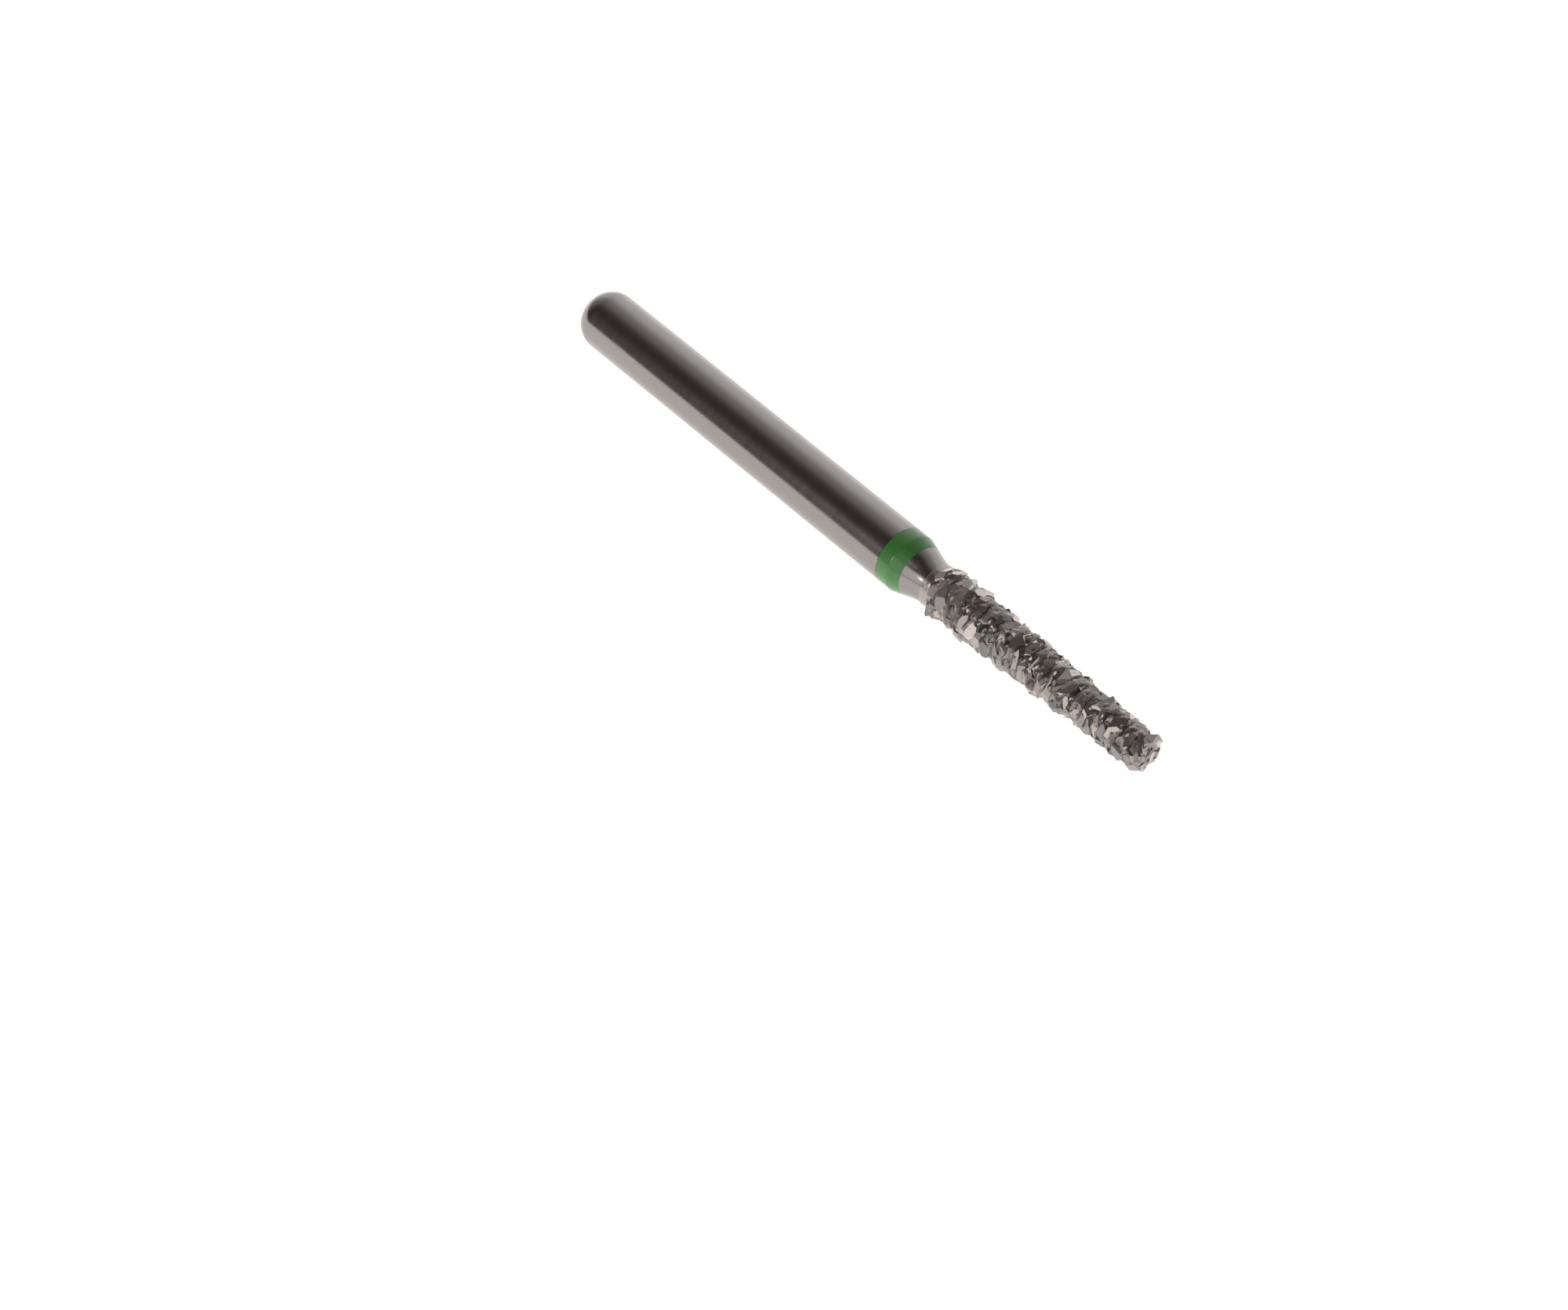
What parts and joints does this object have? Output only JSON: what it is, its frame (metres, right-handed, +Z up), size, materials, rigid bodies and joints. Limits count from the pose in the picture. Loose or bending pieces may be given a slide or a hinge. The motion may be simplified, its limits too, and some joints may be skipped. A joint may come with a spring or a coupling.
{
  "type": "dental bur",
  "caption": "Friction-grip diamond bur: domed steel shank, green colour band on the shoulder, narrow neck and a long tapered flat-end head coated in coarse grit.",
  "frame": {"origin": "centre of the small flat on the shank's rear end, on the bur's axis", "axes": "+X along the bur's axis, from the shank's rear end to the tip; +Z up"},
  "size_m": [0.021, 0.0016, 0.0016],
  "materials": {
    "stainless_steel": "turned and centreless-ground stainless steel, bright, with fine marks round the axis",
    "green_lacquer": "glossy baked green lacquer over the ground steel",
    "diamond_in_nickel": "grey-brown diamond grains, glassy on their facets, half sunk in satin plated nickel"
  },
  "bodies": {
    "root": {"blank": "stainless_steel", "colour_band": "green_lacquer", "diamond_coat": "diamond_in_nickel"}
  },
  "joints": []
}
